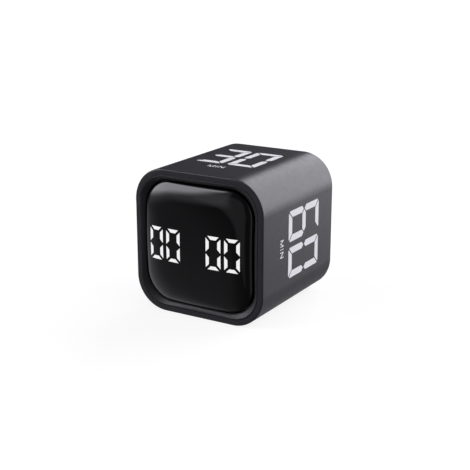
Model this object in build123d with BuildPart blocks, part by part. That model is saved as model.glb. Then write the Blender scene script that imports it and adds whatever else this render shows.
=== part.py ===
from build123d import *
import os
from math import cos, pi, sin

# A flip cube countdown timer, built as the pieces that it comes apart into.
# Millimetres. +Z is up, the display faces -Y, and the origin is under the middle of the whole object.
# A setback is a distance behind the plane of the front rim. Inside a layer, x is +X and y is height
# above the middle of the cube.

# ---- Driving dimensions ----
SIZE = 60.0            # width and height of the housing
DEPTH = 59.8           # front rim to rear rim
LENS_RISE = 2.9        # the display lens stands this far in front of the rim
CORNER_R = 13.9        # long rounded corners of the housing
EDGE_R = 0.5           # rounding of the outer edges of both rims
WALL = 2.45            # wall of the housing
SEAM = 0.3             # gap between the housing and what is set into its ends

MIDDLE = SIZE / 2
REAR_Y = (DEPTH + LENS_RISE) / 2
FRONT_Y = REAR_Y - DEPTH
OPENING = MIDDLE - WALL            # half width of the housing's inside
OPENING_R = CORNER_R - WALL
INSERT = OPENING - SEAM            # half width of the pieces set into the ends
INSERT_R = OPENING_R - SEAM

# ---- Setbacks of the front stack ----
BEZEL_FACE = 0.0                   # the bezel's front face, flush with the rim
LENS_EDGE = 0.33                   # widest line of the lens
SHOULDER = 3.2                     # the bezel's shoulder behind the lens gap
GASKET = 0.3
FLANGE = (SHOULDER + GASKET, 4.7)  # lens flange, front and back
BOARD_T = 1.2
DISPLAY_BOARD = (6.2, 6.2 + BOARD_T)
LEDGE = (DISPLAY_BOARD[1], 9.8)    # ledge inside the housing
CHASSIS_PLATE = (LEDGE[1], 11.4)

# ---- Setbacks of the middle and the rear stack ----
TRAY = (20.1, 21.6)
TAPE = (TRAY[1], 22.1)
CELL = (TAPE[1], 29.6)
MAIN_BOARD = (46.0, 46.0 + BOARD_T)
COVER_T = 2.5
COVER = (DEPTH - COVER_T, DEPTH)
DISH = 1.2                         # depth of the dishes around the keys and the volume knob

# ---- Front details ----
BEZEL_INNER = 25.6                 # half width of the opening that the lens stands in
BEZEL_INNER_R = 11.8
BEZEL_ROLL = 1.3                   # rounding of the bezel's edge towards the lens
BEZEL_LIP = 0.2                    # chamfer of its edge towards the housing
BEZEL_BORE = 26.6                  # half width behind the shoulder
BEZEL_BORE_R = 10.5
LENS = 24.95                       # half width of the lens at its widest line
LENS_R = 11.2
LENS_CROWN = 1.5                   # rise of the lens face from the middle of a side to its centre
LENS_FLAT = 0.35                   # share of the half width that only the crown shapes
LENS_POWER = 1.8                   # fullness of the lens's rounded shoulder
LENS_STEPS = 12
FLANGE_GAP = 0.2                   # between the lens flange and the bezel's bore
LENS_POCKET = (22.6, 9.5, 0.3)     # half width, corner radius and front setback of the hollow behind
LIGHT_BLOCK = (22.2, 8.8, 0.5)     # half width, half height and front setback
LIGHT_PLATE = 26.0                 # half width of the light block's plate
LIGHT_PLATE_R = 10.0

# ---- Digits ----
DIGIT_W = 6.65
DIGIT_H = 13.7
DIGIT_CENTRES = (-18.45, -10.05, 8.85, 17.25)
DIGIT_DROP = 0.36                  # the digits sit this far below the middle
STROKE = 1.42
CORNER_GAP = 0.72                  # how far a bar stays from the digit's outer corner
MIDDLE_GAP = 0.36                  # how far a bar stays from the digit's middle line

# ---- Rear layout, as (x, height above the middle) ----
KEY_SPOTS = {"minute": (14.0, 11.0), "second": (0.0, 11.0), "start": (-14.0, 11.0)}
KEY_R = 4.4
VOLUME = (11.0, -5.0)
VOLUME_TRAVEL = 2.0
BUZZER = (-12.5, -8.5)
BUZZER_R = 6.0
USB = (0.0, -21.0)
PILOT_LIGHT = (9.5, -21.0)
COVER_SCREW = 22.2                 # screw places, from both middle planes
BOSS_R = 3.0
PILOT_R = 0.85                     # bores that the housing's screws cut their thread in
SCREW_CLEAR_R = 0.95               # bores that screws pass through
DISPLAY_SCREW = 21.9
POST = (21.5, 12.5)                # chassis posts, which carry the main board
POST_SIDE = 5.0
EDGE_SCREW = 25.1                  # chassis screws, on the middle planes
BATTERY_PLUG = (12.0, -4.0)
WIRE_R = 0.6


def layer(setback):
    """Plane parallel to the front rim, facing forwards, centred on the cube."""
    return Plane(origin=(0, FRONT_Y + setback, MIDDLE), x_dir=(1, 0, 0), z_dir=(0, -1, 0))


def corners(x, y):
    """The four spots at plus and minus x and y."""
    return [(x, y), (-x, y), (-x, -y), (x, -y)]


def save(builder, name):
    """Label a finished piece and write it to its own file."""
    builder.part.label = name
    export_step(builder.part, f"parts/{name}.step")


def square(half, radius, mode=Mode.ADD):
    """Rounded square in the current sketch."""
    RectangleRounded(2 * half, 2 * half, radius, mode=mode)


def plate(front, back, half, radius, hole=None, hole_r=None):
    """Rounded square plate between two setbacks, with an optional rounded square hole."""
    with BuildPart() as piece:
        with BuildSketch(layer(back)):
            square(half, radius)
            if hole:
                square(hole, hole_r, mode=Mode.SUBTRACT)
        extrude(amount=back - front)
    return piece


def blocks(front, back, spots, width, height):
    """Equal rectangular blocks between two setbacks, one at each spot."""
    with BuildPart() as piece:
        with BuildSketch(layer(back)):
            with Locations(*spots):
                Rectangle(width, height)
        extrude(amount=back - front)
    return piece


def screws(spots, seat, head_r, head_t, shank_r, length, rear=True):
    """Cross-head screws. Their heads are behind the seat, or in front of it where rear is False."""
    head = (seat, seat + head_t) if rear else (seat - head_t, seat)
    shank = (seat - length, seat) if rear else (seat, seat + length)
    recess = (head[1] - head_t / 2, head[1]) if rear else (head[0], head[0] + head_t / 2)
    with BuildPart() as piece:
        with BuildSketch(layer(head[1])):
            with Locations(*spots):
                Circle(head_r)
        extrude(amount=head_t)
        with BuildSketch(layer(shank[1])):
            with Locations(*spots):
                Circle(shank_r)
        extrude(amount=length)
        with BuildSketch(layer(recess[1])):
            with Locations(*spots):
                Rectangle(1.3 * head_r, 0.3 * head_r)
                Rectangle(0.3 * head_r, 1.3 * head_r)
        extrude(amount=head_t / 2, mode=Mode.SUBTRACT)
    return piece


def chip(spot, width, height, front, back, pins, pitch, rear=False):
    """Moulded chip with flat pins along its upper and lower sides, lying on a board."""
    pin_t = 0.2
    pin_back = front + pin_t if rear else back
    with BuildPart() as piece:
        with BuildSketch(layer(back)):
            with Locations(spot):
                Rectangle(width, height)
        extrude(amount=back - front)
        with BuildSketch(layer(pin_back)):
            with Locations(spot):
                with GridLocations(pitch, height, pins, 2):
                    Rectangle(pitch * 0.45, 1.6)
        extrude(amount=pin_t)
    return piece


def segments(centre):
    """Outlines of the seven bars of one digit: top, bottom, middle and four sides."""
    w, h, t, c, m = DIGIT_W / 2, DIGIT_H / 2, STROKE, CORNER_GAP, MIDDLE_GAP
    top = [(-w + c, h), (w - c, h), (w - t - c, h - t), (-w + t + c, h - t)]
    side = [(w, h - c), (w, m), (w - t, m + t), (w - t, h - t - c)]
    middle = [(-w + t / 2 + m, 0), (-w + t + m, t / 2), (w - t - m, t / 2),
              (w - t / 2 - m, 0), (w - t - m, -t / 2), (-w + t + m, -t / 2)]
    bars = [top, [(x, -y) for x, y in reversed(top)], middle]
    bars += [side, [(-x, y) for x, y in reversed(side)]]
    bars += [[(x, -y) for x, y in reversed(side)], [(-x, -y) for x, y in side]]
    return [[(centre + x, y - DIGIT_DROP) for x, y in bar] for bar in bars]


def lens_section(share):
    """Half width, corner radius and setback of the lens, from its edge (0) to its flat top (1)."""
    turn = share * pi / 2
    reach = LENS_FLAT + (1 - LENS_FLAT) * max(cos(turn), 0) ** (2 / LENS_POWER)
    rise = (LENS_RISE + LENS_EDGE) * sin(turn) ** (2 / LENS_POWER)
    return LENS * reach, LENS_R * reach, LENS_EDGE - rise


ALL_BARS = [bar for centre in DIGIT_CENTRES for bar in segments(centre)]
os.makedirs("parts", exist_ok=True)

# ---- Housing: square tube, ledge for the display, four bosses for the rear cover ----
LEDGE_INNER, LEDGE_INNER_R = 23.0, 10.0
BOSS_FRONT = 40.0
BOSS_BORE = 9.0
DISPLAY_PILOT_R = 0.7
SNAP_W, SNAP_T, SNAP_ROOT, SNAP = 10.0, 0.65, 0.2, (4.2, 5.2)
SNAP_SIDES = ((0, 1), (0, -1), (1, 0), (-1, 0))
with BuildPart() as housing:
    with BuildSketch(layer(DEPTH)):
        square(MIDDLE, CORNER_R)
    extrude(amount=DEPTH)
    rims = housing.faces().filter_by(Axis.Y)
    fillet(rims.edges(), EDGE_R)
    with BuildSketch(layer(DEPTH)):
        square(OPENING, OPENING_R)
    extrude(amount=DEPTH, mode=Mode.SUBTRACT)
    with BuildSketch(layer(LEDGE[1])):
        square(OPENING + SEAM, OPENING_R)
        square(LEDGE_INNER, LEDGE_INNER_R, mode=Mode.SUBTRACT)
    extrude(amount=LEDGE[1] - LEDGE[0])
    with BuildSketch(layer(COVER[0])):
        with Locations(*corners(COVER_SCREW, COVER_SCREW)):
            Circle(BOSS_R)
    extrude(amount=COVER[0] - BOSS_FRONT)
    with BuildSketch(layer(COVER[0])):
        with Locations(*corners(COVER_SCREW, COVER_SCREW)):
            Circle(PILOT_R)
    extrude(amount=BOSS_BORE, mode=Mode.SUBTRACT)
    with BuildSketch(layer(LEDGE[1])):
        with Locations(*corners(DISPLAY_SCREW, DISPLAY_SCREW)):
            Circle(DISPLAY_PILOT_R)
        with Locations(*[(EDGE_SCREW * x, EDGE_SCREW * y) for x, y in SNAP_SIDES]):
            Circle(PILOT_R)
    extrude(amount=LEDGE[1] - LEDGE[0], mode=Mode.SUBTRACT)
    with BuildSketch(layer(SNAP[1] + SEAM)):
        for x, y in SNAP_SIDES:
            with Locations((OPENING * x, OPENING * y)):
                Rectangle(SNAP_W * abs(y) + 1.0, SNAP_W * abs(x) + 1.0)
    extrude(amount=SNAP[1] - SNAP[0] + 2 * SEAM, mode=Mode.SUBTRACT)
save(housing, "housing")

# ---- Front bezel: ring that rolls over towards the lens, and snap ridges ----
with BuildPart() as front_bezel:
    with BuildSketch(layer(DISPLAY_BOARD[0])):
        square(INSERT, INSERT_R)
        square(BEZEL_INNER, BEZEL_INNER_R, mode=Mode.SUBTRACT)
    extrude(amount=DISPLAY_BOARD[0] - BEZEL_FACE)
    bezel_face = front_bezel.faces().sort_by(Axis.Y)[0]
    fillet(bezel_face.inner_wires()[0].edges(), BEZEL_ROLL)
    bezel_face = front_bezel.faces().sort_by(Axis.Y)[0]
    chamfer(bezel_face.outer_wire().edges(), BEZEL_LIP)
    with BuildSketch(layer(DISPLAY_BOARD[0])):
        square(BEZEL_BORE, BEZEL_BORE_R)
    extrude(amount=DISPLAY_BOARD[0] - SHOULDER, mode=Mode.SUBTRACT)
    ridge = INSERT - SNAP_ROOT + SNAP_T / 2
    with BuildSketch(layer(SNAP[1])):
        for x, y in SNAP_SIDES:
            with Locations((ridge * x, ridge * y)):
                Rectangle(SNAP_W * abs(y) + SNAP_T * abs(x), SNAP_W * abs(x) + SNAP_T * abs(y))
    extrude(amount=SNAP[1] - SNAP[0])
save(front_bezel, "front_bezel")

# ---- Display lens: crowned pillow with a rounded shoulder, a flange and a hollow back ----
crown_r = (LENS ** 2 + LENS_CROWN ** 2) / (2 * LENS_CROWN)
with BuildPart() as display_lens:
    for step in range(LENS_STEPS + 1):
        half, radius, setback = lens_section(step / LENS_STEPS)
        with BuildSketch(layer(setback)):
            square(half, radius)
    loft(ruled=True)
    with Locations((0, FRONT_Y - LENS_RISE + crown_r, MIDDLE)):
        Sphere(crown_r, mode=Mode.INTERSECT)
    with BuildSketch(layer(FLANGE[0])):
        square(LENS, LENS_R)
    extrude(amount=FLANGE[0] - LENS_EDGE)
    with BuildSketch(layer(FLANGE[1])):
        square(BEZEL_BORE - FLANGE_GAP, BEZEL_BORE_R - FLANGE_GAP)
    extrude(amount=FLANGE[1] - FLANGE[0])
    with BuildSketch(layer(FLANGE[1])):
        square(LENS_POCKET[0], LENS_POCKET[1])
    extrude(amount=FLANGE[1] - LENS_POCKET[2], mode=Mode.SUBTRACT)
save(display_lens, "display_lens")

GASKET_INSET = 0.3
GASKET_HOLE = 0.6
lens_gasket = plate(SHOULDER, FLANGE[0], BEZEL_BORE - GASKET_INSET, BEZEL_BORE_R - GASKET_INSET,
                    LENS + GASKET_HOLE, LENS_R + GASKET_HOLE)
save(lens_gasket, "lens_gasket")

# ---- Light block: base plate, raised block and a shaft for each bar of the digits ----
HEAD_BORE = 0.95
with BuildPart() as light_block:
    with BuildSketch(layer(DISPLAY_BOARD[0])):
        square(LIGHT_PLATE, LIGHT_PLATE_R)
        with Locations(*corners(DISPLAY_SCREW, DISPLAY_SCREW)):
            Circle(SCREW_CLEAR_R, mode=Mode.SUBTRACT)
    extrude(amount=DISPLAY_BOARD[0] - FLANGE[1])
    with BuildSketch(layer(FLANGE[1] + HEAD_BORE)):
        with Locations(*corners(DISPLAY_SCREW, DISPLAY_SCREW)):
            Circle(1.6)
    extrude(amount=HEAD_BORE, mode=Mode.SUBTRACT)
    with BuildSketch(layer(FLANGE[1])):
        RectangleRounded(2 * LIGHT_BLOCK[0], 2 * LIGHT_BLOCK[1], 1.0)
    extrude(amount=FLANGE[1] - LIGHT_BLOCK[2])
    with BuildSketch(layer(DISPLAY_BOARD[0])):
        for bar in ALL_BARS:
            with BuildLine():
                Polyline(*bar, close=True)
            make_face()
    extrude(amount=DISPLAY_BOARD[0] - LIGHT_BLOCK[2], mode=Mode.SUBTRACT)
save(light_block, "light_block")

# ---- Segment windows: one diffuser bar in the mouth of each shaft ----
WINDOW_T = 0.8
with BuildPart() as segment_windows:
    with BuildSketch(layer(LIGHT_BLOCK[2] + WINDOW_T)):
        for bar in ALL_BARS:
            with BuildLine():
                Polyline(*bar, close=True)
            make_face()
    extrude(amount=WINDOW_T)
save(segment_windows, "segment_windows")

# ---- Display board, its light chips, driver chip and screws ----
with BuildPart() as display_board:
    with BuildSketch(layer(DISPLAY_BOARD[1])):
        square(INSERT - 0.15, INSERT_R - 0.15)
        with Locations(*corners(DISPLAY_SCREW, DISPLAY_SCREW)):
            Circle(SCREW_CLEAR_R, mode=Mode.SUBTRACT)
    extrude(amount=BOARD_T)
save(display_board, "display_board")

LED_T = 0.7
column = DIGIT_W / 2 - STROKE / 2
row = DIGIT_H / 2 - STROKE / 2
with BuildPart() as display_leds:
    with BuildSketch(layer(DISPLAY_BOARD[0])):
        for centre in DIGIT_CENTRES:
            with Locations(*[(centre, y - DIGIT_DROP) for y in (row, 0, -row)]):
                Rectangle(1.6, 0.8)
            with Locations(*[(centre + x, y - DIGIT_DROP) for x, y in corners(column, row / 2)]):
                Rectangle(0.8, 1.6)
    extrude(amount=LED_T)
save(display_leds, "display_leds")

display_driver = chip((0, -4), 16.0, 6.4, DISPLAY_BOARD[1], DISPLAY_BOARD[1] + 1.9, 12, 1.27, rear=True)
save(display_driver, "display_driver_chip")

display_screws = screws(corners(DISPLAY_SCREW, DISPLAY_SCREW), FLANGE[1] + HEAD_BORE, 1.5, 0.85, 0.65, 3.7,
                        rear=False)
save(display_screws, "display_screws")

# ---- Ribbon cable between the two boards, and its sockets ----
RIBBON_W, RIBBON_T = 11.0, 0.3
RIBBON_FRONT = DISPLAY_BOARD[1] + 1.3
RIBBON_BACK = MAIN_BOARD[0] - 1.3
RIBBON_TOP = 20.5
FRONT_SOCKET_TOP, REAR_SOCKET_TOP = 12.0, 13.0
SOCKET_T, SOCKET_H, SOCKET_W = 2.1, 4.5, 14.0
side = Plane(origin=(0, FRONT_Y, MIDDLE), x_dir=(0, 1, 0), z_dir=(1, 0, 0))
with BuildPart() as ribbon_cable:
    with BuildLine(side) as ribbon_path:
        FilletPolyline((RIBBON_FRONT, FRONT_SOCKET_TOP), (RIBBON_FRONT, RIBBON_TOP),
                       (RIBBON_BACK, RIBBON_TOP), (RIBBON_BACK, REAR_SOCKET_TOP), radius=3.2)
    with BuildSketch(Plane(origin=ribbon_path.line @ 0, x_dir=(1, 0, 0), z_dir=ribbon_path.line % 0)):
        Rectangle(RIBBON_W, RIBBON_T)
    sweep()
save(ribbon_cable, "ribbon_cable")

display_socket = blocks(DISPLAY_BOARD[1], DISPLAY_BOARD[1] + SOCKET_T,
                        [(0, FRONT_SOCKET_TOP - SOCKET_H / 2)], SOCKET_W, SOCKET_H)
save(display_socket, "display_socket")
main_socket = blocks(MAIN_BOARD[0] - SOCKET_T, MAIN_BOARD[0],
                     [(0, REAR_SOCKET_TOP - SOCKET_H / 2)], SOCKET_W, SOCKET_H)
save(main_socket, "main_socket")

# ---- Inner chassis: front plate, four posts and the battery tray ----
WINDOW = (36.0, 30.0)
NOTCH = (15.0, 22.5)
FENCE_T = 1.2
CELL_W, CELL_H = 31.0, 22.0
with BuildPart() as inner_chassis:
    with BuildSketch(layer(CHASSIS_PLATE[1])):
        square(INSERT - 0.55, INSERT_R - 0.55)
        RectangleRounded(*WINDOW, 2.0, mode=Mode.SUBTRACT)
        with Locations((0, NOTCH[1] / 2)):
            Rectangle(NOTCH[0], NOTCH[1], mode=Mode.SUBTRACT)
        with Locations(*corners(COVER_SCREW, COVER_SCREW)):
            Circle(BOSS_R + 0.4, mode=Mode.SUBTRACT)
        with Locations(*[(EDGE_SCREW * x, EDGE_SCREW * y) for x, y in SNAP_SIDES]):
            Circle(SCREW_CLEAR_R, mode=Mode.SUBTRACT)
    extrude(amount=CHASSIS_PLATE[1] - CHASSIS_PLATE[0])
    with BuildSketch(layer(MAIN_BOARD[0])):
        with Locations(*corners(*POST)):
            RectangleRounded(POST_SIDE, POST_SIDE, 0.8)
    extrude(amount=MAIN_BOARD[0] - CHASSIS_PLATE[0])
    with BuildSketch(layer(TRAY[1])):
        RectangleRounded(2 * POST[0] + POST_SIDE, 2 * POST[1] + POST_SIDE, 0.8)
        RectangleRounded(18.0, 10.0, 2.0, mode=Mode.SUBTRACT)
    extrude(amount=TRAY[1] - TRAY[0])
    with BuildSketch(layer(TRAY[1] + 3.5)):
        with Locations((0, CELL_H / 2 + FENCE_T), (0, -CELL_H / 2 - FENCE_T)):
            Rectangle(CELL_W + 2, FENCE_T)
        with Locations((-CELL_W / 2 - FENCE_T, 0)):
            Rectangle(FENCE_T, CELL_H - 4)
    extrude(amount=3.5)
    with BuildSketch(layer(MAIN_BOARD[0])):
        with Locations(*corners(*POST)):
            Circle(0.8)
    extrude(amount=8.0, mode=Mode.SUBTRACT)
save(inner_chassis, "inner_chassis")

chassis_screws = screws([(EDGE_SCREW * x, EDGE_SCREW * y) for x, y in SNAP_SIDES],
                        CHASSIS_PLATE[1], 1.4, 0.9, 0.8, 3.6)
save(chassis_screws, "chassis_screws")

# ---- Battery: pouch cell, tape, protection board, leads, plug and socket ----
GUARD_W = 2.0
GUARD = (CELL[0] + 2.2, CELL[1] - 2.2)
guard_x = CELL_W / 2 + GUARD_W / 2
with BuildPart() as battery_cell:
    with BuildSketch(layer(CELL[1])):
        RectangleRounded(CELL_W, CELL_H, 2.0)
    extrude(amount=CELL[1] - CELL[0])
    fillet(battery_cell.faces().filter_by(Axis.Y).edges(), 1.2)
save(battery_cell, "battery_cell")

battery_tape = blocks(TAPE[0], TAPE[1], [(0, 7.5), (0, -7.5)], 26.0, 4.0)
save(battery_tape, "battery_tape")
battery_guard_board = blocks(GUARD[0], GUARD[1], [(guard_x, 0)], GUARD_W, 18.0)
save(battery_guard_board, "battery_guard_board")

PLUG = (36.5, 42.0)
LEAD_PITCH = 2.0
lead_x = CELL_W / 2 + GUARD_W
lead_start = (GUARD[0] + GUARD[1]) / 2
LEAD_OUT, LEAD_TURN = 5.2, 5.3
for name, offset_z in (("positive", LEAD_PITCH / 2), ("negative", -LEAD_PITCH / 2)):
    level = Plane(origin=(0, FRONT_Y, MIDDLE + BATTERY_PLUG[1] + offset_z), x_dir=(1, 0, 0), z_dir=(0, 0, 1))
    with BuildPart() as battery_lead:
        with BuildLine(level) as lead_path:
            FilletPolyline((lead_x, lead_start), (lead_x + LEAD_OUT, lead_start),
                           (lead_x + LEAD_OUT, lead_start + LEAD_TURN),
                           (BATTERY_PLUG[0], lead_start + LEAD_TURN), (BATTERY_PLUG[0], PLUG[0]), radius=2.3)
        with BuildSketch(Plane(origin=lead_path.line @ 0, z_dir=lead_path.line % 0)):
            Circle(WIRE_R)
        sweep()
    save(battery_lead, f"battery_lead_{name}")

PLUG_W, PLUG_H = 3.8, 6.0
battery_plug = blocks(PLUG[0], PLUG[1], [BATTERY_PLUG], PLUG_W, PLUG_H)
save(battery_plug, "battery_plug")
with BuildPart() as battery_socket:
    with BuildSketch(layer(MAIN_BOARD[0])):
        with Locations(BATTERY_PLUG):
            Rectangle(PLUG_W + 1.6, PLUG_H + 1.8)
    extrude(amount=MAIN_BOARD[0] - PLUG[1] + 2.5)
    with BuildSketch(layer(PLUG[1])):
        with Locations(BATTERY_PLUG):
            Rectangle(PLUG_W + 0.2, PLUG_H + 0.2)
    extrude(amount=2.5, mode=Mode.SUBTRACT)
save(battery_socket, "battery_socket")

# ---- Main board and its screws ----
BOARD_HALF = 24.6
with BuildPart() as main_board:
    with BuildSketch(layer(MAIN_BOARD[1])):
        square(BOARD_HALF, 6.0)
        with Locations(*corners(COVER_SCREW, COVER_SCREW)):
            Circle(BOSS_R + 0.5, mode=Mode.SUBTRACT)
        with Locations(*corners(*POST)):
            Circle(1.0, mode=Mode.SUBTRACT)
    extrude(amount=BOARD_T)
save(main_board, "main_board")
main_board_screws = screws(corners(*POST), MAIN_BOARD[1], 1.6, 1.0, 0.75, 6.5)
save(main_board_screws, "main_board_screws")

# ---- Parts on the main board's front ----
ON_FRONT = MAIN_BOARD[0]
controller_chip = chip((-6, -2), 7.0, 7.0, ON_FRONT - 1.2, ON_FRONT, 10, 0.65)
save(controller_chip, "controller_chip")
tilt_sensor = chip((-15, 6), 2.2, 2.2, ON_FRONT - 0.9, ON_FRONT, 3, 0.6)
save(tilt_sensor, "tilt_sensor_chip")
charger_chip = chip((4, -15), 4.9, 3.9, ON_FRONT - 1.4, ON_FRONT, 4, 1.27)
save(charger_chip, "charger_chip")
with BuildPart() as crystal:
    with BuildSketch(layer(ON_FRONT)):
        with Locations((-6, -10)):
            RectangleRounded(6.0, 2.4, 1.1)
    extrude(amount=1.8)
save(crystal, "crystal")
capacitor_spots = [(-14, -4), (-14, 0), (2, 3), (-1, -10), (-11, -15), (-5, -17), (11, -15), (14, -12)]
capacitors = blocks(ON_FRONT - 0.8, ON_FRONT, capacitor_spots, 1.6, 0.8)
save(capacitors, "capacitors")
resistor_spots = [(x, z) for x in (-19, -17) for z in (-6, -3, 0, 3)] + [(17, 2), (17, 5), (-9, 6), (-6, 6)]
resistors = blocks(ON_FRONT - 0.4, ON_FRONT, resistor_spots, 1.0, 0.5)
save(resistors, "resistors")

# ---- USB-C port, standing on the main board's rear ----
ON_REAR = MAIN_BOARD[1]
USB_W, USB_H, USB_WALL = 8.94, 3.16, 0.3
USB_MOUTH = DEPTH - 0.5
with BuildPart() as usb_shell:
    with BuildSketch(layer(USB_MOUTH)):
        with Locations(USB):
            SlotOverall(USB_W, USB_H)
            SlotOverall(USB_W - 2 * USB_WALL, USB_H - 2 * USB_WALL, mode=Mode.SUBTRACT)
    extrude(amount=USB_MOUTH - ON_REAR)
save(usb_shell, "usb_shell")
with BuildPart() as usb_tongue:
    with BuildSketch(layer(ON_REAR + 3.0)):
        with Locations(USB):
            SlotOverall(USB_W - 2 * USB_WALL - 0.1, USB_H - 2 * USB_WALL - 0.1)
    extrude(amount=3.0)
    with BuildSketch(layer(USB_MOUTH - 0.8)):
        with Locations(USB):
            Rectangle(6.7, 0.7)
    extrude(amount=USB_MOUTH - 0.8 - ON_REAR)
save(usb_tongue, "usb_tongue")

# ---- Pilot light: chip on the board and a clear light pipe through the cover ----
charge_led = blocks(ON_REAR, ON_REAR + LED_T, [PILOT_LIGHT], 1.6, 0.8)
save(charge_led, "charge_led")
PIPE_R = 1.0
with BuildPart() as light_pipe:
    with BuildSketch(layer(DEPTH - 0.1)):
        with Locations(PILOT_LIGHT):
            Circle(PIPE_R)
    extrude(amount=DEPTH - 0.1 - (ON_REAR + LED_T + 0.4))
    with BuildSketch(layer(COVER[0])):
        with Locations(PILOT_LIGHT):
            Circle(PIPE_R + 0.8)
    extrude(amount=0.8)
save(light_pipe, "light_pipe")

# ---- Buzzer and its gasket ----
BUZZER_TOP = ON_REAR + 6.0
with BuildPart() as buzzer:
    with BuildSketch(layer(BUZZER_TOP)):
        with Locations(BUZZER):
            Circle(BUZZER_R)
    extrude(amount=6.0)
    with BuildSketch(layer(BUZZER_TOP)):
        with Locations(BUZZER):
            Circle(1.2)
    extrude(amount=1.5, mode=Mode.SUBTRACT)
save(buzzer, "buzzer")
with BuildPart() as buzzer_gasket:
    with BuildSketch(layer(COVER[0])):
        with Locations(BUZZER):
            Circle(BUZZER_R - 0.4)
            Circle(BUZZER_R - 1.9, mode=Mode.SUBTRACT)
    extrude(amount=COVER[0] - BUZZER_TOP)
save(buzzer_gasket, "buzzer_gasket")

# ---- Keys: switch body, snap dome, plunger and cap, three times ----
SWITCH_TOP = ON_REAR + 3.5
SWITCH_FLOOR = ON_REAR + 0.4
DOME_TOP = ON_REAR + 1.3
DOME_R, DOME_H, DOME_T = 2.3, 0.8, 0.15
DOME_SPHERE = (DOME_R ** 2 + DOME_H ** 2) / (2 * DOME_H)
PLUNGER_R, PLUNGER_TOP = 1.7, ON_REAR + 4.0
KEY_FLANGE = (COVER[0] - 1.1, COVER[0] - 0.3)
KEY_TOP = DEPTH - 0.3
KEY_DISH_R = 22.0
for name, spot in KEY_SPOTS.items():
    with BuildPart() as switch_body:
        with BuildSketch(layer(SWITCH_TOP)):
            with Locations(spot):
                RectangleRounded(6.0, 6.0, 0.4)
        extrude(amount=SWITCH_TOP - ON_REAR)
        with BuildSketch(layer(DOME_TOP + 0.1)):
            with Locations(spot):
                Circle(2.5)
        extrude(amount=DOME_TOP + 0.1 - SWITCH_FLOOR, mode=Mode.SUBTRACT)
        with BuildSketch(layer(SWITCH_TOP)):
            with Locations(spot):
                Circle(PLUNGER_R + 0.1)
        extrude(amount=SWITCH_TOP - DOME_TOP, mode=Mode.SUBTRACT)
    save(switch_body, f"{name}_switch_body")

    with BuildPart() as switch_dome:
        with Locations((spot[0], FRONT_Y + SWITCH_FLOOR + DOME_H - DOME_SPHERE, MIDDLE + spot[1])):
            Sphere(DOME_SPHERE)
            Sphere(DOME_SPHERE - DOME_T, mode=Mode.SUBTRACT)
        split(bisect_by=layer(SWITCH_FLOOR), keep=Keep.BOTTOM)
    save(switch_dome, f"{name}_switch_dome")

    with BuildPart() as plunger:
        with BuildSketch(layer(PLUNGER_TOP)):
            with Locations(spot):
                Circle(PLUNGER_R)
        extrude(amount=PLUNGER_TOP - DOME_TOP)
    save(plunger, f"{name}_plunger")

    with BuildPart() as key_cap:
        with BuildSketch(layer(KEY_TOP)):
            with Locations(spot):
                Circle(KEY_R)
        extrude(amount=KEY_TOP - KEY_FLANGE[1])
        fillet(key_cap.faces().sort_by(Axis.Y)[-1].edges(), 0.6)
        with BuildSketch(layer(KEY_FLANGE[1])):
            with Locations(spot):
                Circle(KEY_R + 1.0)
        extrude(amount=KEY_FLANGE[1] - KEY_FLANGE[0])
        with BuildSketch(layer(KEY_FLANGE[0])):
            with Locations(spot):
                Circle(1.5)
        extrude(amount=KEY_FLANGE[0] - PLUNGER_TOP)
        with Locations((spot[0], FRONT_Y + KEY_TOP + KEY_DISH_R - 0.3, MIDDLE + spot[1])):
            Sphere(KEY_DISH_R, mode=Mode.SUBTRACT)
    save(key_cap, f"{name}_key_cap")

# ---- Volume switch: body, actuator and knob ----
ACTUATOR = 0.9
ACTUATOR_FRONT = ON_REAR + 1.4
ACTUATOR_BACK = ON_REAR + 7.8
KNOB_W, KNOB_H = 4.6, 3.2
KNOB_TOP = DEPTH - 0.3
KNOB_FLANGE = (14.6, 5.8)
with BuildPart() as volume_switch_body:
    with BuildSketch(layer(ON_REAR + 3.5)):
        with Locations(VOLUME):
            Rectangle(9.0, 3.8)
    extrude(amount=3.5)
    with BuildSketch(layer(ON_REAR + 3.5)):
        with Locations(VOLUME):
            Rectangle(2 * (ACTUATOR + VOLUME_TRAVEL + SEAM), 2 * (ACTUATOR + 0.1))
    extrude(amount=2.3, mode=Mode.SUBTRACT)
save(volume_switch_body, "volume_switch_body")
volume_actuator = blocks(ACTUATOR_FRONT, ACTUATOR_BACK, [VOLUME], 2 * ACTUATOR, 2 * ACTUATOR)
save(volume_actuator, "volume_actuator")
with BuildPart() as volume_knob:
    with BuildSketch(layer(KEY_FLANGE[1])):
        with Locations(VOLUME):
            RectangleRounded(*KNOB_FLANGE, 1.0)
    extrude(amount=KEY_FLANGE[1] - KEY_FLANGE[0])
    with BuildSketch(layer(KEY_FLANGE[0])):
        with Locations(VOLUME):
            RectangleRounded(3.6, 3.6, 0.4)
    extrude(amount=3.0)
    with BuildSketch(layer(ACTUATOR_BACK)):
        with Locations(VOLUME):
            Rectangle(2 * ACTUATOR, 2 * ACTUATOR)
    extrude(amount=ACTUATOR_BACK - KEY_FLANGE[0] + 3.0, mode=Mode.SUBTRACT)
    with BuildSketch(layer(KNOB_TOP)):
        with Locations(VOLUME):
            RectangleRounded(KNOB_W, KNOB_H, 0.5)
    extrude(amount=KNOB_TOP - KEY_FLANGE[1])
    fillet(volume_knob.faces().sort_by(Axis.Y)[-1].edges(), 0.25)
    with BuildSketch(layer(KNOB_TOP)):
        with Locations(VOLUME):
            with GridLocations(1.1, 0, 3, 1):
                Rectangle(0.4, KNOB_H + 1)
    extrude(amount=0.45, mode=Mode.SUBTRACT)
save(volume_knob, "volume_knob")

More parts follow.
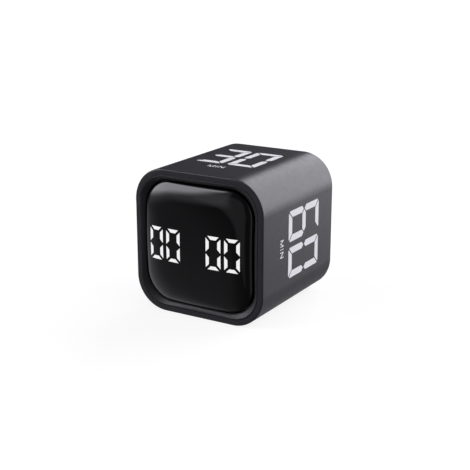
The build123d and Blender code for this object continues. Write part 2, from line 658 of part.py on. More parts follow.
# ---- Rear cover: plate with dishes, key holes, knob slot, port, sound holes and screw bores ----
KEY_GAP = 0.25
with BuildPart() as rear_cover:
    with BuildSketch(layer(COVER[1])):
        square(INSERT, INSERT_R)
    extrude(amount=COVER_T)
    fillet(rear_cover.faces().sort_by(Axis.Y)[-1].edges(), 0.25)
    with BuildSketch(layer(COVER[1])):
        with Locations((0, KEY_SPOTS["second"][1])):
            SlotOverall(42.0, 13.0)
        with Locations(VOLUME):
            SlotOverall(16.0, 7.0)
    extrude(amount=DISH, mode=Mode.SUBTRACT)
    with BuildSketch(layer(COVER[1])):
        with Locations(*KEY_SPOTS.values()):
            Circle(KEY_R + KEY_GAP)
        with Locations(VOLUME):
            Rectangle(KNOB_W + 2 * (VOLUME_TRAVEL + KEY_GAP), KNOB_H + 2 * KEY_GAP)
        with Locations(USB):
            SlotOverall(USB_W + 0.6, USB_H + 0.6)
        with Locations(PILOT_LIGHT):
            Circle(PIPE_R + 0.05)
        with Locations(BUZZER):
            Circle(0.6)
            with PolarLocations(2.5, 6):
                Circle(0.6)
        with Locations(*corners(COVER_SCREW, COVER_SCREW)):
            Circle(1.1)
    extrude(amount=COVER_T, mode=Mode.SUBTRACT)
    with BuildSketch(layer(COVER[1])):
        with Locations(*corners(COVER_SCREW, COVER_SCREW)):
            Circle(2.1)
    extrude(amount=1.3, mode=Mode.SUBTRACT)
save(rear_cover, "rear_cover")

cover_screws = screws(corners(COVER_SCREW, COVER_SCREW), COVER[1] - 1.3, 1.9, 1.0, 0.8, 8.0)
save(cover_screws, "rear_cover_screws")
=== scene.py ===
from math import acos, cos, pi, radians, sin

import bmesh
import bpy
from mathutils import Matrix, Vector


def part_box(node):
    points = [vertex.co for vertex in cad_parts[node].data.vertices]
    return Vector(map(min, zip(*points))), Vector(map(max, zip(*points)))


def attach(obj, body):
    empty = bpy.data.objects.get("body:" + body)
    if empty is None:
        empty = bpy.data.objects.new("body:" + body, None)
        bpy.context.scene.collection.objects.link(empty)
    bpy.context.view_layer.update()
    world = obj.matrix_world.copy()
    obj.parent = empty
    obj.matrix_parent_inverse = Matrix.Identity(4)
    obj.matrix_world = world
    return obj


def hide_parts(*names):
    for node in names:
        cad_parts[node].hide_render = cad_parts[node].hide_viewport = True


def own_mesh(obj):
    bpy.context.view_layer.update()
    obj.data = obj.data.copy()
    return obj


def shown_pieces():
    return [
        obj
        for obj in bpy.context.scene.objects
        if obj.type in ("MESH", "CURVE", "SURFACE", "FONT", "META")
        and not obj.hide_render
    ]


# The looks of a flip cube countdown timer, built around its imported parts.
# Sizes are millimetres, turned into metres where a mesh is made. Only the camera's distances are in metres.
# +Z is up and the display faces -Y. Inside a face of the cube, u runs along the text and v is up the text.
# A setback is a distance behind the rim of the housing, so it is negative in front of the rim.

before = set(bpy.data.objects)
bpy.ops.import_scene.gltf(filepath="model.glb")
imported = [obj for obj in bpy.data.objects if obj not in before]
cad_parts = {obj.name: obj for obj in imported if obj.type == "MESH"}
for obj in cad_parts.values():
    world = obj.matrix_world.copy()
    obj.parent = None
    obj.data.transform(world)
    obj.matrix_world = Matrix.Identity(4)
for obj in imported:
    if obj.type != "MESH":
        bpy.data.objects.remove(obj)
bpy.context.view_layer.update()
MM = 0.001

LOW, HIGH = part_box("housing")
CENTRE = (LOW + HIGH) / 2
HALF = (HIGH.x - LOW.x) / 2 / MM
FRONT = LOW.y / MM
MIDDLE = CENTRE.z / MM
BODY = "timer_body"

# ---- Round corners ----
ARC_STEPS, SIDE_STEPS = 14, 12                             # steps in a corner and in half of a straight side

# ---- Window ----
# It bulges like a cushion: a crown over the whole face and an edge that rounds off into the wall.
# An R after a half width is the corner radius that goes with it.
LENS_FRONT = (LOW.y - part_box("display_lens")[0].y) / MM    # how far the lens stands in front of the rim
LENS_HALF, LENS_R = 24.95, 11.2
LENS_EDGE = 0.33                                           # setback of the edge in the middle of a side
LENS_CROWN = 1.5                                           # depth of the crown at the middle of a side
LENS_ROUND = LENS_FRONT + LENS_EDGE - LENS_CROWN           # depth of the rounded edge
ROUND_START = 0.66                                         # share of the half width where the rounding starts
CROWN_RINGS, EDGE_RINGS = 20, 40                           # rings inside and outside that start
FLANGE_HALF, FLANGE_R = 26.4, 10.3
FLANGE_FRONT, FLANGE_BACK = 3.5, 4.7                       # setbacks
POCKET_HALF, POCKET_R = 22.6, 9.5                          # the hollow in the window's back
POCKET_TOP = 0.3                                           # setback

# ---- Bezel ----
BEZEL_HALF, BEZEL_R = 27.37, 11.27
BEZEL_INNER, BEZEL_INNER_R = 25.6, 11.8
BEZEL_TOP = -0.03                                          # setback
BEZEL_LIP = 0.12                                           # width of the chamfer at the outer edge
BEZEL_DROP = 1.15                                          # depth of the round-over
BEZEL_START = 30.0                                         # degrees that the round-over starts at
BEZEL_STEPS = 16
BORE_HALF, BORE_R = 26.6, 10.5                             # the wider hole behind, round the window's flange
BORE_FRONT, BORE_BACK = 3.2, 6.2                           # setbacks

# ---- Digits of the display ----
DIGIT_W, DIGIT_H, STROKE = 6.65, 13.7, 1.42
CORNER_GAP, MIDDLE_GAP = 0.78, 0.42                        # from a bar to a corner and to the middle line
DIGIT_CENTRES = (-18.5, -10.05, 8.95, 17.25)
DIGIT_DROP = 0.36                                          # how far the digits stand below the middle
BAR_ROWS, BAR_COLUMNS = 4, 12                              # cells of a bar's mesh

# ---- Snap domes ----
KEYS = ("minute", "second", "start")
DOME_T = 0.15                                              # thickness of the steel
DOME_RINGS, DOME_SIDES = 10, 48

# ---- Printed numbers ----
NUMBER_W, NUMBER_H = 12.8, 26.2
NUMBER_SIDE, NUMBER_BAR = 2.78, 2.95                       # thickness of upright and of level bars
NUMBER_GAP, NUMBER_CUT = 0.36, 1.2                         # gap between bars, size of a corner's chamfer
UNPRINTED = {                                              # bars that a digit leaves out
    "0": ("middle",),
    "1": ("top", "bottom", "middle", "upper_left", "lower_left"),
    "3": ("upper_left", "lower_left"),
    "5": ("upper_right", "lower_left"),
    "6": ("upper_right",),
}
NUMBER_PITCH = 15.2
NUMBER_V = 3.73
TOP_SHIFT = -0.42                                          # the top print is a little off the middle
LETTER_H, LETTER_V, LETTER_STROKE = 2.62, -16.15, 0.36
M_W, N_W, LETTER_GAP = 2.8, 2.5, 0.88
SLANT_END = 1.25                                           # width of a slanting stroke's end, in strokes
VALLEY, NOTCH, M_FOOT = 1.3, 1.9, 0.5                      # in strokes: M's valley, notches, half of M's foot
INK = 0.02                                                 # how far ink and lit bars stand out


# ---- Meshes ----
def mesh_object(name, points, faces, finish, body=BODY, smooth=True):
    """A piece made from points in millimetres. It rides on a body and names its finish."""
    mesh = bpy.data.meshes.new(name)
    mesh.from_pydata([Vector(p) * MM for p in points], [], faces)
    work = bmesh.new()
    work.from_mesh(mesh)
    bmesh.ops.recalc_face_normals(work, faces=work.faces)
    work.to_mesh(mesh)
    work.free()
    for polygon in mesh.polygons:
        polygon.use_smooth = smooth
    piece = bpy.data.objects.new(name, mesh)
    bpy.context.scene.collection.objects.link(piece)
    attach(piece, body)
    piece["finish"] = finish
    return piece


def rounded_square(half, radius):
    """Points around a square with round corners, starting in the middle of its right side."""
    flat = half - radius
    points = []
    for quarter in range(4):
        turn = quarter * pi / 2
        side = [(half, flat * i / SIDE_STEPS) for i in range(SIDE_STEPS)]
        corner = [(flat + radius * cos(a), flat + radius * sin(a))
                  for a in (pi / 2 * i / ARC_STEPS for i in range(ARC_STEPS))]
        back = [(flat - flat * i / SIDE_STEPS, half) for i in range(SIDE_STEPS)]
        for x, y in side + corner + back:
            points.append((x * cos(turn) - y * sin(turn), x * sin(turn) + y * cos(turn)))
    return points


def skin(loops, capped):
    """Points and faces of a surface through equal loops. It is capped, or its last loop joins its first."""
    count = len(loops[0])
    points = [p for loop in loops for p in loop]
    spans = len(loops) - 1 if capped else len(loops)
    faces = []
    for k in range(spans):
        a, b = k * count, (k + 1) % len(loops) * count
        for i in range(count):
            j = (i + 1) % count
            faces.append((a + i, a + j, b + j, b + i))
    if capped:
        faces.append(tuple(range(count)))
        faces.append(tuple(range((len(loops) - 1) * count, len(loops) * count)))
    return points, faces


def ring_solid(name, rings, slot, capped, sharp):
    """A closed solid through rounded square rings, each (half, radius, setback, bow).

    The setback is that of the middle of a side. The bow sets the corners back, as a crowned surface does.
    sharp lists hard rings."""
    loops = [[(x, FRONT + setback + bow * ((x * x + z * z) / half ** 2 - 1), MIDDLE + z)
              for x, z in rounded_square(half, radius)] for half, radius, setback, bow in rings]
    points, faces = skin(loops, capped)
    piece = mesh_object(name, points, faces, slot)
    count = len(loops[0])
    for edge in piece.data.edges:
        k, m = (v // count for v in edge.vertices)
        if k == m and k in sharp:
            edge.use_edge_sharp = True
    return piece


def slab(name, outlines, place, slot):
    """Thin closed slabs from flat outlines. place turns (u, v, height) into a point in millimetres."""
    points, faces = [], []
    for outline in outlines:
        n, start = len(outline), len(points)
        points += [place(u, v, INK) for u, v in outline]
        points += [place(u, v, -INK) for u, v in outline]
        faces.append(tuple(range(start, start + n)))
        faces.append(tuple(range(start + 2 * n - 1, start + n - 1, -1)))
        for i in range(n):
            j = (i + 1) % n
            faces.append((start + i, start + j, start + n + j, start + n + i))
    mesh_object(name, points, faces, slot, smooth=False)


# ---- Display lens and bezel ----
def lens_profile(share):
    """Setback of the lens in the middle of a side, at a share of its half width."""
    rounding = max(0, (min(share, 1) - ROUND_START) / (1 - ROUND_START))
    return -LENS_FRONT + LENS_CROWN * share ** 2 + LENS_ROUND * (1 - (1 - rounding ** 2) ** 0.5)


def lens_setback(u, v):
    """Setback of the lens surface at any point of it, which lies on a rounded square of half width size."""
    rho = LENS_R / LENS_HALF
    core = 1 - rho
    far, near = max(abs(u), abs(v)), min(abs(u), abs(v))
    size = far
    if near > core * far:
        a = 2 * core ** 2 - rho ** 2
        b = -2 * core * (far + near)
        size = (-b - (b * b - 4 * a * (u * u + v * v)) ** 0.5) / (2 * a)
    share = size / LENS_HALF
    return lens_profile(share) + LENS_CROWN * ((u * u + v * v) / LENS_HALF ** 2 - share ** 2)


def make_lens():
    """The display window: crowned face, rounded edge, wall, flange and a hollow back."""
    edge = 1 - ROUND_START
    shares = [ROUND_START * k / CROWN_RINGS for k in range(1, CROWN_RINGS)]
    shares += [ROUND_START + edge * sin(pi / 2 * k / EDGE_RINGS) for k in range(EDGE_RINGS + 1)]
    rings = [(LENS_HALF * share, LENS_R * share, lens_profile(share), LENS_CROWN * share ** 2)
             for share in shares]
    wall = len(rings)
    rings += [(LENS_HALF, LENS_R, FLANGE_FRONT, 0)]
    rings += [(FLANGE_HALF, FLANGE_R, FLANGE_FRONT, 0), (FLANGE_HALF, FLANGE_R, FLANGE_BACK, 0)]
    rings += [(POCKET_HALF, POCKET_R, FLANGE_BACK, 0), (POCKET_HALF, POCKET_R, POCKET_TOP, 0)]
    lens = ring_solid("display_window", rings, "lens_black", True, range(wall, len(rings)))
    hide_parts("display_lens")


def make_bezel():
    """The black ring round the window, whose front edge rolls over towards the window."""
    lip, lip_r = BEZEL_HALF - BEZEL_LIP, BEZEL_R - BEZEL_LIP
    rings = [(BEZEL_HALF, BEZEL_R, BEZEL_TOP + BEZEL_LIP, 0)]
    start = radians(BEZEL_START)
    for k in range(BEZEL_STEPS + 1):
        turn = start + (pi / 2 - start) * k / BEZEL_STEPS
        share = (sin(turn) - sin(start)) / (1 - sin(start))
        drop = (cos(start) - cos(turn)) / cos(start)
        rings.append((lip + (BEZEL_INNER - lip) * share, lip_r + (BEZEL_INNER_R - lip_r) * share,
                      BEZEL_TOP + BEZEL_DROP * drop, LENS_CROWN * share))
    front = len(rings)
    rings += [(BEZEL_INNER, BEZEL_INNER_R, BORE_FRONT, 0), (BORE_HALF, BORE_R, BORE_FRONT, 0)]
    rings += [(BORE_HALF, BORE_R, BORE_BACK, 0), (BEZEL_HALF, BEZEL_R, BORE_BACK, 0)]
    bezel = ring_solid("bezel_ring", rings, "bezel_plastic", False, [0, *range(front, len(rings))])
    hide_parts("front_bezel")


def lit_bars(centre):
    """Corners of the six lit bars of a zero."""
    w, h, t, c, m = DIGIT_W / 2, DIGIT_H / 2, STROKE, CORNER_GAP, MIDDLE_GAP
    top = [(-w + c, h), (w - c, h), (w - t - c, h - t), (-w + t + c, h - t)]
    side = [(w, h - c), (w, m), (w - t, m + t), (w - t, h - t - c)]
    bars = [top, [(x, -y) for x, y in top]]
    bars += [[(x * a, y * b) for x, y in side] for a in (1, -1) for b in (1, -1)]
    return [[(centre + x, y - DIGIT_DROP) for x, y in bar] for bar in bars]


def sheet_faces(start):
    """Faces of one side of a bar, whose points start at an index."""
    width = BAR_COLUMNS + 1
    corners = [start + i * width + j for i in range(BAR_ROWS) for j in range(BAR_COLUMNS)]
    return [(k, k + 1, k + width + 1, k + width) for k in corners]


def sheet_rim():
    """Indices round the edge of one side of a bar."""
    width = BAR_COLUMNS + 1
    rim = list(range(width))
    rim += [BAR_COLUMNS + i * width for i in range(1, BAR_ROWS + 1)]
    rim += [BAR_ROWS * width + j for j in range(BAR_COLUMNS - 1, -1, -1)]
    rim += [i * width for i in range(BAR_ROWS - 1, 0, -1)]
    return rim


def make_lit_digits():
    """The lit bars, as thin slabs that follow the window's surface."""
    points, faces = [], []
    side = (BAR_ROWS + 1) * (BAR_COLUMNS + 1)
    rim = sheet_rim()
    bars = [[Vector(p) for p in bar] for centre in DIGIT_CENTRES for bar in lit_bars(centre)]
    for a, b, c, d in bars:
        base = len(points)
        for lift in (INK, -INK):
            faces += sheet_faces(len(points))
            for i in range(BAR_ROWS + 1):
                for j in range(BAR_COLUMNS + 1):
                    u, v = a.lerp(b, j / BAR_COLUMNS).lerp(d.lerp(c, j / BAR_COLUMNS), i / BAR_ROWS)
                    points.append((u, FRONT + lens_setback(u, v) - lift, MIDDLE + v))
        for k, m in zip(rim, rim[1:] + rim[:1]):
            faces.append((base + k, base + m, base + side + m, base + side + k))
    mesh_object("lit_digits", points, faces, "diffuser", smooth=False)


# ---- Snap domes ----
def dome_profile(radius, height):
    """Points (radius, height) along a thin dome: down its outside and back up its inside."""
    ball = (radius ** 2 + height ** 2) / (2 * height)
    profile = []
    for shell in (ball, ball - DOME_T):
        reach = acos((ball - height) / shell)
        arc = [reach * k / DOME_RINGS for k in range(1, DOME_RINGS + 1)]
        half = [(shell * sin(a), height - ball + shell * cos(a)) for a in arc]
        profile += half if shell == ball else half[::-1]
    return profile


def make_snap_domes():
    """The steel domes behind the three keys, each with a mesh of its own. The real ones flatten as a key goes
    in; these keep their shape.
    """
    for key in KEYS:
        node = f"{key}_switch_dome"
        low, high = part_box(node)
        centre = (low + high) / 2 / MM
        profile = dome_profile((high.x - low.x) / 2 / MM, (high.y - low.y) / MM)
        turns = [2 * pi * i / DOME_SIDES for i in range(DOME_SIDES)]
        loops = [[(centre.x + r * cos(a), low.y / MM + rise, centre.z + r * sin(a)) for a in turns]
                 for r, rise in profile]
        dome = mesh_object(f"{key}_snap_dome", *skin(loops, True), "switch_dome_steel")
        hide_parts(node)
        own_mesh(dome)


# ---- Printed numbers and letters ----
def number_bars(digit, centre):
    """Outlines of a digit's printed bars."""
    w, h, s, t = NUMBER_W / 2, NUMBER_H / 2, NUMBER_SIDE, NUMBER_BAR
    g, c = NUMBER_GAP, NUMBER_CUT
    right = [(w - c, h), (w - c / 2 - g / 2, h - c / 2 + g / 2), (w - t - g, h - t)]
    top = right + [(-u, v) for u, v in reversed(right)]
    side = [(w - c / 2 + g / 2, h - c / 2 - g / 2), (w, h - c), (w, s / 2 + g), (w - s / 2, g),
            (w - s, s / 2 + g), (w - s, h - s - g)]
    shoulder, tip = w - s / 2 - t / 2 - g, w - s / 2 - g
    middle = [(shoulder, t / 2), (tip, 0), (shoulder, -t / 2)]
    middle += [(-u, -v) for u, v in middle]
    bars = {
        "top": top,
        "bottom": [(u, -v) for u, v in top],
        "middle": middle,
        "upper_right": side,
        "upper_left": [(-u, v) for u, v in side],
        "lower_right": [(u, -v) for u, v in side],
        "lower_left": [(-u, -v) for u, v in side],
    }
    return [[(centre + u, NUMBER_V + v) for u, v in bar]
            for name, bar in bars.items() if name not in UNPRINTED[digit]]


def minute_letters():
    """Outlines of the unit, in thin capitals."""
    h, s, gap = LETTER_H, LETTER_STROKE, LETTER_GAP
    left = -(M_W + s + N_W + 2 * gap) / 2
    notch = NOTCH * s
    outer = [(0, 0), (0, h), (SLANT_END * s, h)]
    inner = [(M_W / 2 - M_FOOT * s, 0), (s, h - notch), (s, 0)]
    m = outer + [(M_W / 2, VALLEY * s)] + [(M_W - u, v) for u, v in reversed(outer)]
    m += [(M_W - u, v) for u, v in reversed(inner)] + inner
    i = [(0, 0), (0, h), (s, h), (s, 0)]
    n = outer + [(N_W - s, notch), (N_W - s, h)]
    n += [(N_W - u, h - v) for u, v in n]
    outlines = []
    for letter, offset in ((m, 0), (i, M_W + gap), (n, M_W + 2 * gap + s)):
        outlines.append([(left + offset + u, LETTER_V + v) for u, v in letter])
    return outlines


def side_place(right, out, shift):
    """A function that turns (u, v, height) of a side face into a point.

    right is along the text and out is off the face. shift moves the print along right."""
    middle = Vector((0, CENTRE.y / MM, MIDDLE)) + right * shift

    def place(u, v, height):
        return middle + right * u + Vector((0, v, 0)) + out * (HALF + height)
    return place


def make_prints():
    """The minutes printed on the four sides."""
    x, z = Vector((1, 0, 0)), Vector((0, 0, 1))
    sides = {"right": ("60", -z, x, 0), "top": ("30", x, z, TOP_SHIFT), "left": ("15", z, -x, 0),
             "bottom": ("5", -x, -z, 0)}
    for name, (number, right, out, shift) in sides.items():
        first = -NUMBER_PITCH * (len(number) - 1) / 2
        outlines = []
        for k, digit in enumerate(number):
            outlines += number_bars(digit, first + NUMBER_PITCH * k)
        outlines += minute_letters()
        slab(f"print_{name}", outlines, side_place(right, out, shift), "ink")


# ---- Materials ----
NOISE_LOW, NOISE_HIGH = 0.3, 0.7                           # the range that most of the noise is in
CLOUD_NOISE, GRAIN_NOISE, GLOSS_NOISE = (4.0, 3.1), (3.0, 7.7), (5.0, 11.3)   # detail and seed
GLOSS_SCALE = 4                                            # gloss varies this much more finely than colour


def new_material(name, colour, roughness, metallic, specular):
    """A material and its Principled shader, with plain values."""
    material = bpy.data.materials.new(name)
    material.use_nodes = True
    shader = material.node_tree.nodes["Principled BSDF"]
    shader.inputs["Base Color"].default_value = (*colour, 1)
    shader.inputs["Roughness"].default_value = roughness
    shader.inputs["Metallic"].default_value = metallic
    shader.inputs["Specular IOR Level"].default_value = specular
    return material, shader


def noise(material, scale, detail, seed, stretch=(1, 1, 1)):
    """Noise in the part's own space. scale is the number of features per millimetre."""
    nodes, links = material.node_tree.nodes, material.node_tree.links
    place = nodes.new("ShaderNodeTexCoord")
    shift = nodes.new("ShaderNodeMapping")
    shift.inputs["Location"].default_value = (seed, seed * 0.7, seed * 1.3)
    shift.inputs["Scale"].default_value = stretch
    texture = nodes.new("ShaderNodeTexNoise")
    texture.inputs["Scale"].default_value = scale / MM
    texture.inputs["Detail"].default_value = detail
    links.new(place.outputs["Object"], shift.inputs["Vector"])
    links.new(shift.outputs["Vector"], texture.inputs["Vector"])
    return texture.outputs["Fac"]


def spread(material, factor, low, high):
    """Maps a factor from its middle range onto low to high."""
    node = material.node_tree.nodes.new("ShaderNodeMapRange")
    node.inputs["From Min"].default_value = NOISE_LOW
    node.inputs["From Max"].default_value = NOISE_HIGH
    node.inputs["To Min"].default_value = low
    node.inputs["To Max"].default_value = high
    material.node_tree.links.new(factor, node.inputs["Value"])
    return node.outputs["Result"]


def tint(material, factor, dark, light):
    """Colour between two tones."""
    ramp = material.node_tree.nodes.new("ShaderNodeValToRGB")
    ramp.color_ramp.elements[0].position = NOISE_LOW
    ramp.color_ramp.elements[0].color = (*dark, 1)
    ramp.color_ramp.elements[1].position = NOISE_HIGH
    ramp.color_ramp.elements[1].color = (*light, 1)
    material.node_tree.links.new(factor, ramp.inputs["Fac"])
    return ramp.outputs["Color"]


def bump(material, shader, factor, height):
    """Relief of a height in millimetres."""
    node = material.node_tree.nodes.new("ShaderNodeBump")
    node.inputs["Distance"].default_value = height * MM
    material.node_tree.links.new(factor, node.inputs["Height"])
    material.node_tree.links.new(node.outputs["Normal"], shader.inputs["Normal"])


def grained(name, colour, roughness, grain=6, height=0.004, vary=0.12, gloss=0.04, cloud=0.12,
            metallic=0, specular=0.5, stretch=(1, 1, 1)):
    """A surface with fine grain, slow colour clouds and uneven gloss.

    grain and cloud are features per millimetre, height is the grain's, and vary is a share of the colour."""
    material, shader = new_material(name, colour, roughness, metallic, specular)
    links = material.node_tree.links
    slow = noise(material, cloud, *CLOUD_NOISE)
    fine = noise(material, grain, *GRAIN_NOISE, stretch)
    dark, light = ([c * share for c in colour] for share in (1 - vary, 1 + vary))
    links.new(tint(material, slow, dark, light), shader.inputs["Base Color"])
    patchy = noise(material, cloud * GLOSS_SCALE, *GLOSS_NOISE, stretch)
    links.new(spread(material, patchy, roughness - gloss, roughness + gloss), shader.inputs["Roughness"])
    bump(material, shader, fine, height)
    return material, shader


def glowing(name, colour, strength):
    """The lit bars of the display."""
    material, shader = grained(name, colour, 0.5, grain=1.5, height=0.001, vary=0.02)
    shader.inputs["Emission Color"].default_value = (1, 0.99, 1, 1)
    shader.inputs["Emission Strength"].default_value = strength
    return material, shader


FINISHES = {
    "housing_plastic": lambda n: grained(n, (0.0168, 0.0162, 0.0200), 0.39, grain=5, height=0.006),
    "bezel_plastic": lambda n: grained(n, (0.021, 0.021, 0.0225), 0.42, grain=5, height=0.003, specular=0.3),
    "lens_black": lambda n: grained(n, (0.003, 0.003, 0.0033), 0.08, grain=0.25, height=0.002, gloss=0.012),
    "ink": lambda n: grained(n, (0.83, 0.83, 0.84), 0.55, grain=7, height=0.004, vary=0.03),
    "diffuser": lambda n: glowing(n, (0.08, 0.08, 0.082), 0.84),
    "foam": lambda n: grained(n, (0.02, 0.02, 0.02), 0.9, grain=3, height=0.08),
    "light_block_plastic": lambda n: grained(n, (0.012, 0.012, 0.012), 0.6, grain=4),
    "led_package": lambda n: grained(n, (0.75, 0.72, 0.55), 0.35, grain=4),
    "circuit_board": lambda n: grained(n, (0.008, 0.11, 0.035), 0.35, grain=1.2, height=0.01, vary=0.25),
    "chip_resin": lambda n: grained(n, (0.018, 0.018, 0.019), 0.6, grain=8, height=0.006),
    "screw_steel": lambda n: grained(n, (0.55, 0.55, 0.56), 0.3, grain=3, height=0.003, metallic=1),
    "black_screw": lambda n: grained(n, (0.03, 0.03, 0.033), 0.38, grain=3, height=0.004, metallic=0.8),
    "ribbon": lambda n: grained(n, (0.62, 0.60, 0.55), 0.45, grain=0.9, stretch=(3, 0.2, 0.2)),
    "socket_plastic": lambda n: grained(n, (0.72, 0.69, 0.60), 0.5, grain=4),
    "chassis_plastic": lambda n: grained(n, (0.030, 0.030, 0.032), 0.5, grain=4, height=0.008),
    "cell_foil": lambda n: grained(n, (0.60, 0.61, 0.63), 0.32, grain=0.5, height=0.03, metallic=0.9),
    "foam_tape": lambda n: grained(n, (0.70, 0.70, 0.66), 0.85, grain=2.5, height=0.05),
    "guard_board": lambda n: grained(n, (0.01, 0.10, 0.04), 0.4, grain=1.5, height=0.01, vary=0.25),
    "red_wire": lambda n: grained(n, (0.45, 0.012, 0.01), 0.42, grain=2, height=0.006),
    "black_wire": lambda n: grained(n, (0.016, 0.016, 0.016), 0.42, grain=2, height=0.006),
    "crystal_can": lambda n: grained(n, (0.66, 0.66, 0.66), 0.25, grain=2, metallic=1),
    "capacitor_body": lambda n: grained(n, (0.42, 0.27, 0.14), 0.45, grain=5),
    "resistor_body": lambda n: grained(n, (0.02, 0.02, 0.022), 0.5, grain=5),
    "port_steel": lambda n: grained(n, (0.62, 0.61, 0.60), 0.28, grain=1, metallic=1, stretch=(0.3, 3, 3)),
    "port_tongue": lambda n: grained(n, (0.02, 0.02, 0.022), 0.4, grain=3),
    "light_pipe_clear": lambda n: grained(n, (0.36, 0.37, 0.38), 0.15, grain=1, height=0.002),
    "buzzer_plastic": lambda n: grained(n, (0.02, 0.02, 0.02), 0.5, grain=3),
    "switch_plastic": lambda n: grained(n, (0.03, 0.03, 0.03), 0.5, grain=3),
    "switch_dome_steel": lambda n: grained(n, (0.70, 0.69, 0.67), 0.22, grain=2, metallic=1),
    "plunger_plastic": lambda n: grained(n, (0.55, 0.54, 0.50), 0.5, grain=3),
    "key_plastic": lambda n: grained(n, (0.026, 0.0255, 0.028), 0.38, grain=5, height=0.004),
    "knob_plastic": lambda n: grained(n, (0.026, 0.0255, 0.028), 0.42, grain=5, height=0.005),
    "cover_plastic": lambda n: grained(n, (0.0205, 0.020, 0.0225), 0.48, grain=4, height=0.008),
}


def finish_all():
    """Gives every shown piece the finish of its slot."""
    made = {}
    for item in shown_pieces():
        finish = item.get("finish") or item.data.materials[0].name.split(".")[0]
        if finish not in made:
            made[finish] = FINISHES[finish]("finish_" + finish)[0]
        item.data.materials.clear()
        item.data.materials.append(made[finish])


# ---- Studio ----
# Soft-edged patches of the sky. Each has a radiance and is where all its bands meet. A band lies across
# azimuth (tilt 0), across elevation (tilt 90) or across a mix of the two, and has a middle, a half width and
# the softness of its edges, all in degrees. Azimuth is counted from +Y ("rear") or -Y ("front") towards +X.
PATCHES = {
    "rear_softbox": ("rear", 3.5, (0, 21, 39, 3), (90, 20.5, 29.5, 9)),
    "key_softbox": ("rear", 1.6, (0, 90, 25, 8), (90, 35, 22, 8)),
    "front_softbox": ("front", 4.3, (0, -54.5, 22.5, 4.5), (131, 73.1, 40, 6), (90, 25.8, 22, 5.5)),
    "front_softbox_glow": ("front", 0.45, (0, -45, 27, 4), (97, 28.6, 25, 4.5)),
    "left_table": ("front", 0.74, (0, -101, 38, 26), (90, -38, 25, 15)),
    "front_table": ("front", 0.07, (0, -52, 38, 20), (90, -45, 25, 12)),
    "front_shade": ("front", 0.083, (55, -54, 30, 6), (0, -60, 40, 9)),
    "far_wall": ("front", 0.2, (48, 1.2, 19, 1.2), (0, -16, 20, 4), (90, -10, 30, 5)),
    "right_table": ("front", 0.31, (0, 65, 30, 15), (90, -10, 30, 15)),
    "rear_table": ("rear", 0.31, (0, 15, 40, 15), (90, -35, 27, 8)),
}
BASE_GLOW = 0.058
LIGHT_TINT = (0.975, 0.96, 1.03, 1)
WHITE = (1, 1, 1, 1)
FLOOR_HALF, FLOOR_DROP = 3000, 0.04
FLOOR_GREY, FLOOR_GLOW = (0.2, 0.2, 0.2), 0.83
CAMERA_AZIMUTH, CAMERA_ELEVATION = 31.16, 16.57            # degrees from -Y towards +X, and up
CAMERA_DISTANCE, CAMERA_ASIDE, CAMERA_RISE = 0.43076, -0.000561, -0.002369    # metres from the middle
SENSOR, FOCAL_LENGTH = 36, 78.19
CLIP_START = 0.01                                          # metres


def maths(tree, operation, first, second=None):
    """A maths node. Each input is a socket or a number."""
    node = tree.nodes.new("ShaderNodeMath")
    node.operation = operation
    for socket, value in zip(node.inputs, (first, second)):
        if isinstance(value, (int, float)):
            socket.default_value = value
        elif value is not None:
            tree.links.new(value, socket)
    return node.outputs[0]


def soft_edge(tree, angle, middle, half, soft):
    """1 within half of the middle, 0 beyond, with a soft edge. Angles are degrees."""
    away = maths(tree, "ABSOLUTE", maths(tree, "SUBTRACT", angle, radians(middle)))
    edge = tree.nodes.new("ShaderNodeMapRange")
    edge.interpolation_type = "SMOOTHSTEP"
    edge.inputs["From Min"].default_value = radians(half - soft)
    edge.inputs["From Max"].default_value = radians(half + soft)
    edge.inputs["To Min"].default_value = 1
    edge.inputs["To Max"].default_value = 0
    tree.links.new(away, edge.inputs["Value"])
    return edge.outputs["Result"]


def sky_glow(tree):
    """The radiance of the sky, as a socket."""
    axes = tree.nodes.new("ShaderNodeSeparateXYZ")
    tree.links.new(tree.nodes.new("ShaderNodeTexCoord").outputs["Generated"], axes.inputs[0])
    x, y, z = (axes.outputs[k] for k in "XYZ")
    azimuths = {"rear": maths(tree, "ARCTAN2", x, y),
                "front": maths(tree, "ARCTAN2", x, maths(tree, "MULTIPLY", y, -1))}
    elevation = maths(tree, "ARCSINE", z)
    glow = BASE_GLOW
    for side, radiance, *bands in PATCHES.values():
        patch = radiance
        for tilt, middle, half, soft in bands:
            across = maths(tree, "MULTIPLY", azimuths[side], cos(radians(tilt)))
            upright = maths(tree, "MULTIPLY", elevation, sin(radians(tilt)))
            band = soft_edge(tree, maths(tree, "ADD", across, upright), middle, half, soft)
            patch = maths(tree, "MULTIPLY", band, patch)
        glow = maths(tree, "ADD", patch, glow)
    return glow


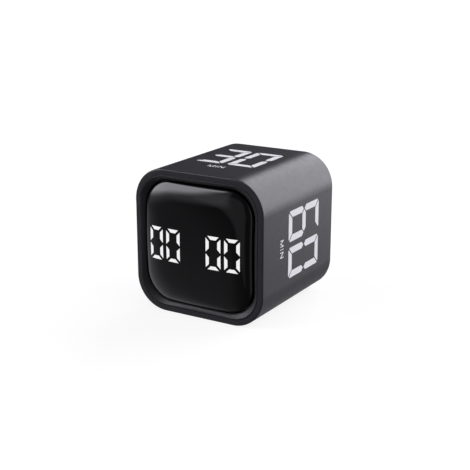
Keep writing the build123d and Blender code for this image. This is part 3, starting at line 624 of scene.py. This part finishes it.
def make_sky():
    """A studio of soft patches lights the object. The camera sees plain white behind it."""
    world = bpy.data.worlds.new("studio")
    bpy.context.scene.world = world
    world.use_nodes = True
    nodes, links = world.node_tree.nodes, world.node_tree.links
    nodes.clear()
    light = nodes.new("ShaderNodeBackground")
    light.inputs["Color"].default_value = LIGHT_TINT
    links.new(sky_glow(world.node_tree), light.inputs["Strength"])
    backdrop = nodes.new("ShaderNodeBackground")
    backdrop.inputs["Color"].default_value = WHITE
    mix = nodes.new("ShaderNodeMixShader")
    links.new(nodes.new("ShaderNodeLightPath").outputs["Is Camera Ray"], mix.inputs[0])
    links.new(light.outputs[0], mix.inputs[1])
    links.new(backdrop.outputs[0], mix.inputs[2])
    links.new(mix.outputs[0], nodes.new("ShaderNodeOutputWorld").inputs[0])


def make_floor():
    """A plain pale floor with a faint shadow. Only the camera sees it, so it gives the object no light."""
    mesh = bpy.data.meshes.new("floor")
    corners = [(-1, -1), (1, -1), (1, 1), (-1, 1)]
    points = [Vector((x * FLOOR_HALF, y * FLOOR_HALF, -FLOOR_DROP)) * MM for x, y in corners]
    mesh.from_pydata(points, [], [(0, 1, 2, 3)])
    floor = bpy.data.objects.new("floor", mesh)
    bpy.context.scene.collection.objects.link(floor)
    material, shader = grained("floor_paper", FLOOR_GREY, 0.9, grain=0.4, height=0.02, vary=0.01)
    shader.inputs["Emission Color"].default_value = WHITE
    shader.inputs["Emission Strength"].default_value = FLOOR_GLOW
    floor.data.materials.append(material)
    floor.visible_glossy = False
    floor.visible_diffuse = False
    floor.visible_shadow = False


def make_camera():
    """A long lens in front, to the right and a little above."""
    azimuth, elevation = radians(CAMERA_AZIMUTH), radians(CAMERA_ELEVATION)
    back = Vector((sin(azimuth) * cos(elevation), -cos(azimuth) * cos(elevation), sin(elevation)))
    right = Vector((cos(azimuth), sin(azimuth), 0))
    up = back.cross(right)
    camera = bpy.data.objects.new("camera", bpy.data.cameras.new("camera"))
    bpy.context.scene.collection.objects.link(camera)
    place = CENTRE + back * CAMERA_DISTANCE + right * CAMERA_ASIDE + up * CAMERA_RISE
    camera.matrix_world = Matrix.Translation(place) @ Matrix((right, up, back)).transposed().to_4x4()
    camera.data.sensor_width = SENSOR
    camera.data.lens = FOCAL_LENGTH
    camera.data.clip_start = CLIP_START
    bpy.context.scene.camera = camera


make_lens()
make_bezel()
make_lit_digits()
make_snap_domes()
make_prints()
finish_all()
make_sky()
make_floor()
make_camera()
bpy.context.scene.view_settings.view_transform = "Standard"
